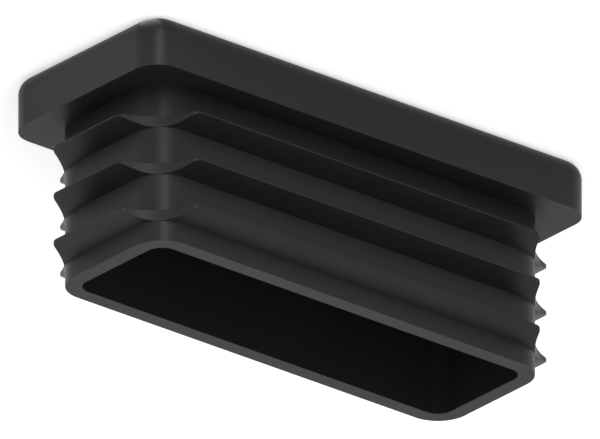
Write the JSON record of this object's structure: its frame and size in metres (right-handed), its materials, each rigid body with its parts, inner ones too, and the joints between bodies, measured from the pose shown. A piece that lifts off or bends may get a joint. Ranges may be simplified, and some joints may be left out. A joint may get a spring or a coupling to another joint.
{
  "type": "tube end cap",
  "caption": "One-piece plastic end cap for rectangular tube: thick flat head with rounded edges, hollow plug ringed by flexible sloped fins that are cut away at the corners.",
  "frame": {"origin": "centre of the head's flat outer face", "axes": "+Z from the head into the tube, towards the plug's open mouth; +X along the cap's long side"},
  "size_m": [0.05, 0.02, 0.02],
  "materials": {
    "cap_plastic": "black moulded polyethylene, satin, faintly uneven"
  },
  "bodies": {
    "root": {"tube_end_cap": "cap_plastic"}
  },
  "joints": []
}
